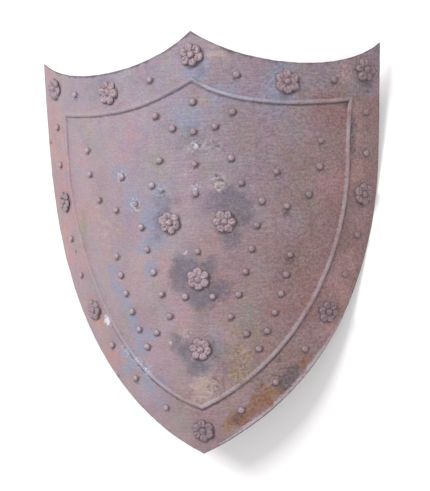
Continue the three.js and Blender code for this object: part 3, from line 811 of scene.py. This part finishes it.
def growOnSeats(seats, tree, settings, material):
    # one vertex for each seat, with the way its axis points, its turn, its size and how dark it
    # went; what the tree grows on them becomes a plain mesh, named as the tree is
    drawn = np.array([seat[0] for seat in seats], float)
    points, normals = onFace(drawn, beatenRise(drawn))
    seatMesh = bpy.data.meshes.new("seats")
    seatMesh.from_pydata(points.tolist(), [], [])
    facing = seatMesh.attributes.new("facing", "FLOAT_VECTOR", "POINT")
    facing.data.foreach_set("vector", normals.astype(np.float32).ravel())
    for label, index in (("turn", 1), ("size", 2), ("tarnish", 3)):
        layer = seatMesh.attributes.new(label, "FLOAT", "POINT")
        layer.data.foreach_set("value", np.array([seat[index] for seat in seats], np.float32))
    holder = bpy.data.objects.new("seats", seatMesh)
    bpy.context.scene.collection.objects.link(holder)
    modifier = holder.modifiers.new(tree.name, "NODES")
    modifier.node_group = tree
    given = {**settings, "Material": material}
    for item in tree.interface.items_tree:
        if item.in_out == "INPUT" and item.name in given:
            modifier[item.identifier] = given[item.name]
    evaluated = holder.evaluated_get(bpy.context.evaluated_depsgraph_get())
    mesh = bpy.data.meshes.new_from_object(evaluated)
    holder.modifiers.remove(modifier)
    bpy.data.objects.remove(holder)
    mesh.name = tree.name
    print(tree.name + ": done", len(mesh.polygons), "faces")
    return newPiece(tree.name, mesh, material)


def dome(tree, radius, height, segments, rings, low, flip=False, crease=None, worn=1.0):
    # the upper half of a ball, squashed, with its lower half folded into a flat underside at low
    ball = addNode(tree, "GeometryNodeMeshUVSphere", None, {
        "Segments": segments, "Rings": rings, "Radius": 1.0,
    })
    place = addNode(tree, "GeometryNodeInputPosition")
    x, y, z = addNode(tree, "ShaderNodeSeparateXYZ", None, {0: place}).outputs
    wayUp = -1.0 if flip else 1.0
    rise = addNode(tree, *times, {0: z, 1: wayUp})
    rise = addNode(tree, *larger, {0: rise, 1: 0.0})
    rise = addNode(tree, *power, {0: rise, 1: 0.75})
    if crease:
        # a fold pressed in along the petal, which runs out before the outer end
        aside = addNode(tree, *times, {0: y, 1: y})
        aside = addNode(tree, *times, {0: aside, 1: -11.0})
        fold = addNode(tree, *exponent, {0: aside})
        inner = addNode(tree, *softRange, {
            "Value": x, "From Min": 0.1, "From Max": 0.8, "To Min": 1.0, "To Max": 0.0,
        })
        fold = addNode(tree, *times, {0: fold, 1: inner})
        fold = addNode(tree, *times, {0: fold, 1: crease})
        kept = addNode(tree, *minus, {0: 1.0, 1: fold})
        rise = addNode(tree, *times, {0: rise, 1: kept})
    wide = addNode(tree, *times, {0: x, 1: radius})
    deep = addNode(tree, *times, {0: y, 1: radius})
    high = addNode(tree, *times, {0: rise, 1: height})
    high = addNode(tree, *timesPlus, {0: high, 1: wayUp, 2: low})
    shaped = addNode(tree, "ShaderNodeCombineXYZ", None, {0: wide, 1: deep, 2: high})
    # worn lowers the stored rise, which paints shade, as on the rosette base between the petals
    shown = addNode(tree, *times, {0: rise, 1: worn})
    stored = addNode(tree, *storeNumber, {
        "Geometry": ball, "Name": "rise", "Value": shown,
    })
    return addNode(tree, "GeometryNodeSetPosition", None, {"Geometry": stored, "Position": shaped})


def spinAbout(tree, rotation, angle):
    turned = addNode(tree, "FunctionNodeAxisAngleToRotation", None, {"Axis": (0, 0, 1), "Angle": angle})
    return addNode(tree, *turnLocally, {0: rotation, 1: turned})


def seatRotation(tree):
    facing = addNode(tree, *readVector, {"Name": "facing"})
    turn = addNode(tree, *readNumber, {"Name": "turn"})
    upright = addNode(tree, "FunctionNodeAlignRotationToVector", {"axis": "Z"}, {"Vector": facing})
    return spinAbout(tree, upright, turn)


def copyOnto(tree, points, shape, rotation, scale):
    placed = addNode(tree, "GeometryNodeInstanceOnPoints", None, {
        "Points": points, "Instance": shape, "Rotation": rotation, "Scale": scale,
    })
    return addNode(tree, "GeometryNodeRealizeInstances", None, {0: placed})


def copyOntoSeats(tree, seats, shape):
    size = addNode(tree, *readNumber, {"Name": "size"})
    return copyOnto(tree, seats, shape, seatRotation(tree), size)


def finishMetal(tree, value, parts):
    # crowns a little out of true, as hand work is, while the feet stay on the plate
    whole = addNode(tree, "GeometryNodeJoinGeometry", None, {0: parts})
    place = addNode(tree, "GeometryNodeInputPosition")
    lumps = addNode(tree, "ShaderNodeTexNoise", {"noise_dimensions": "4D"}, {
        "Vector": place, "W": value["Seed"], "Scale": value["Lump scale"], "Detail": 2.0,
    })
    swing = addNode(tree, "ShaderNodeVectorMath", {"operation": "SUBTRACT"}, {
        0: lumps.outputs["Color"], 1: (0.5, 0.5, 0.5),
    })
    rise = addNode(tree, *readNumber, {"Name": "rise"})
    amount = addNode(tree, *times, {0: value["Unevenness"], 1: rise})
    offset = addNode(tree, "ShaderNodeVectorMath", {"operation": "SCALE"}, {0: swing, "Scale": amount})
    moved = addNode(tree, "GeometryNodeSetPosition", None, {"Geometry": whole, "Offset": offset})
    smooth = addNode(tree, "GeometryNodeSetShadeSmooth", None, {0: moved})
    real = addNode(tree, "GeometryNodeRealizeInstances", None, {0: smooth})
    final = addNode(tree, "GeometryNodeSetMaterial", None, {0: real, "Material": value["Material"]})
    addNode(tree, "NodeGroupOutput", None, {0: final})
    return tree


rivets = {
    "Head radius": 0.0046, "Head height": 0.0039, "Tail radius": 0.0036, "Tail height": 0.0018,
    "Plate": 0.002, "Unevenness": 0.003, "Lump scale": perMm(6), "Seed": 3.0,
}
rivetSpread = {"size": 0.1, "tarnishLeft": 0.15, "tarnishRight": 0.3, "tarnish": 0.2}


def rivetTree():
    tree, value = newTree("dome_rivets", rivets)
    head = dome(tree, value["Head radius"], value["Head height"], 24, 16, -sunk)
    under = addNode(tree, *timesPlus, {0: value["Plate"], 1: -1.0, 2: sunk})
    tail = dome(tree, value["Tail radius"], value["Tail height"], 16, 10, under, flip=True)
    stud = addNode(tree, "GeometryNodeJoinGeometry", None, {0: [head, tail]})
    return finishMetal(tree, value, [copyOntoSeats(tree, value["Geometry"], stud)])


draw = np.random.default_rng(11)
rivetSeats = []
for place in rivetPlaces:
    turn, size, tone = draw.uniform(0, math.tau), draw.uniform(-1, 1), draw.uniform(-1, 1)
    tarnish = rivetSpread["tarnishRight"] if place[0] > 60 else rivetSpread["tarnishLeft"]
    tarnish = max(tarnish + rivetSpread["tarnish"] * tone, 0)
    rivetSeats.append((place, turn, 1 + rivetSpread["size"] * size, tarnish))
rivetPiece = growOnSeats(rivetSeats, rivetTree(), rivets, rivetIron)

rosettes = {
    "Petals": 6, "Petal middle": 0.0102, "Petal length": 0.0064, "Petal width": 0.0063,
    "Petal height": 0.0054, "Petal crease": 0.29, "Petal spread": 0.18, "Petal sway": 0.16,
    "Boss radius": 0.0052, "Boss height": 0.0058, "Base radius": 0.0145, "Base height": 0.0027,
    "Tail radius": 0.0038, "Tail height": 0.002, "Unevenness": 0.0095, "Lump scale": perMm(4.4), "Seed": 8.0,
}


def rosetteTree():
    tree, value = newTree("six_petal_rosettes", rosettes)
    # a ring of points on each seat, then one petal on each point, no two alike
    ring = addNode(tree, "GeometryNodeMeshCircle", None, {
        "Vertices": value["Petals"], "Radius": value["Petal middle"],
    })
    step = addNode(tree, *over, {0: math.tau, 1: value["Petals"]})
    index = addNode(tree, "GeometryNodeInputIndex")
    angle = addNode(tree, *times, {0: index, 1: step})
    marked = addNode(tree, *storeNumber, {
        "Geometry": ring, "Name": "petalAngle", "Value": angle,
    })
    rings = copyOntoSeats(tree, value["Geometry"], marked)
    petalAngle = addNode(tree, *readNumber, {"Name": "petalAngle"})
    outward = spinAbout(tree, seatRotation(tree), petalAngle)
    back = addNode(tree, *times, {0: value["Petal sway"], 1: -1.0})
    sway = addNode(tree, *drawVector, {
        0: back, 1: value["Petal sway"], "Seed": value["Seed"],
    })
    lean = addNode(tree, "FunctionNodeEulerToRotation", None, {0: sway})
    leaned = addNode(tree, *turnLocally, {0: outward, 1: lean})
    small = addNode(tree, *minus, {0: 1.0, 1: value["Petal spread"]})
    large = addNode(tree, *plus, {0: 1.0, 1: value["Petal spread"]})
    nextSeed = addNode(tree, *plus, {0: value["Seed"], 1: 1.0})
    spread = addNode(tree, *drawVector, {0: small, 1: large, "Seed": nextSeed})
    oval = addNode(tree, "ShaderNodeCombineXYZ", None, {
        0: value["Petal length"], 1: value["Petal width"], 2: 1.0,
    })
    size = addNode(tree, "ShaderNodeVectorMath", {"operation": "MULTIPLY"}, {0: oval, 1: spread})
    petal = dome(tree, 1.0, value["Petal height"], 28, 18, -sunk, crease=value["Petal crease"])
    petals = copyOnto(tree, rings, petal, leaned, size)
    boss = dome(tree, value["Boss radius"], value["Boss height"], 20, 14, 0.0)
    # the base keeps a low stored rise, which paints shade in the grooves between the petals
    base = dome(tree, value["Base radius"], value["Base height"], 32, 12, -0.0007, worn=0.3)
    behind = -plateSizes["thickness"] / 1000 + sunk
    tail = dome(tree, value["Tail radius"], value["Tail height"], 16, 10, behind, flip=True)
    middle = addNode(tree, "GeometryNodeJoinGeometry", None, {0: [boss, base, tail]})
    return finishMetal(tree, value, [petals, copyOntoSeats(tree, value["Geometry"], middle)])


rosetteSeats = [(place, math.pi / 2 + turn, 1.0, tarnish) for place, turn, tarnish in rosettePlaces.values()]
rosettePiece = growOnSeats(rosetteSeats, rosetteTree(), rosettes, rosetteIron)

# What each piece stands for

rosetteNodes = [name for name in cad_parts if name.startswith("rosette_")]
rivetNodes = [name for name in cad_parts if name.startswith("rivet_")]
for piece, slot, stands in ((plate, "plate_iron", ["plate"]), (rosettePiece, "rosette_iron", rosetteNodes),
                            (rivetPiece, "rivet_iron", rivetNodes)):
    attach(piece, "root")
    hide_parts(*stands)

# Floor, light and camera

studio = {
    "floor": "#f2f1f0", "floorSide": 8, "floorRoughness": 0.9, "world": "#f4f6fb", "worldStrength": 0.72,
    "key": {"place": (-1.5, 1.45, 2.3), "side": 1.0, "power": 80, "tint": "#ffffff"},
    "fill": {"place": (1.9, -0.6, 1.8), "side": 2.2, "power": 20, "tint": "#fff4ec"},
    "lens": 46.06, "eye": (0.2124, 0.02267, 0.96417), "look": (-1.374, 11.933, -0.934),
}


def addFloor():
    side = studio["floorSide"] / 2
    mesh = bpy.data.meshes.new("floor")
    corners = [(-side, -side, 0), (side, -side, 0), (side, side, 0), (-side, side, 0)]
    mesh.from_pydata(corners, [], [(0, 1, 2, 3)])
    material = bpy.data.materials.new("pale_floor")
    material.use_nodes = True
    feed(material.node_tree, material.node_tree.nodes["Principled BSDF"], {
        "Base Color": hexToLinear(studio["floor"]), "Roughness": studio["floorRoughness"],
    })
    newPiece("floor", mesh, material)


def addLight(name):
    settings = studio[name]
    light = bpy.data.lights.new(name, "AREA")
    light.size = settings["side"]
    light.energy = settings["power"]
    light.color = hexToLinear(settings["tint"])[:3]
    lamp = bpy.data.objects.new(name, light)
    lamp.location = settings["place"]
    lamp.rotation_euler = (Vector((0, 0, 0.05)) - lamp.location).to_track_quat("-Z", "Y").to_euler()
    bpy.context.scene.collection.objects.link(lamp)


addFloor()
for name in ("key", "fill"):
    addLight(name)
world = bpy.data.worlds.new("soft_room")
world.use_nodes = True
feed(world.node_tree, world.node_tree.nodes["Background"], {
    "Color": hexToLinear(studio["world"]), "Strength": studio["worldStrength"],
})
scene = bpy.context.scene
scene.world = world
scene.view_settings.view_transform = "Standard"
camera = bpy.data.objects.new("camera", bpy.data.cameras.new("camera"))
camera.data.lens = studio["lens"]
camera.data.clip_start = 0.01
camera.location = studio["eye"]
camera.rotation_euler = [math.radians(angle) for angle in studio["look"]]
scene.collection.objects.link(camera)
scene.camera = camera
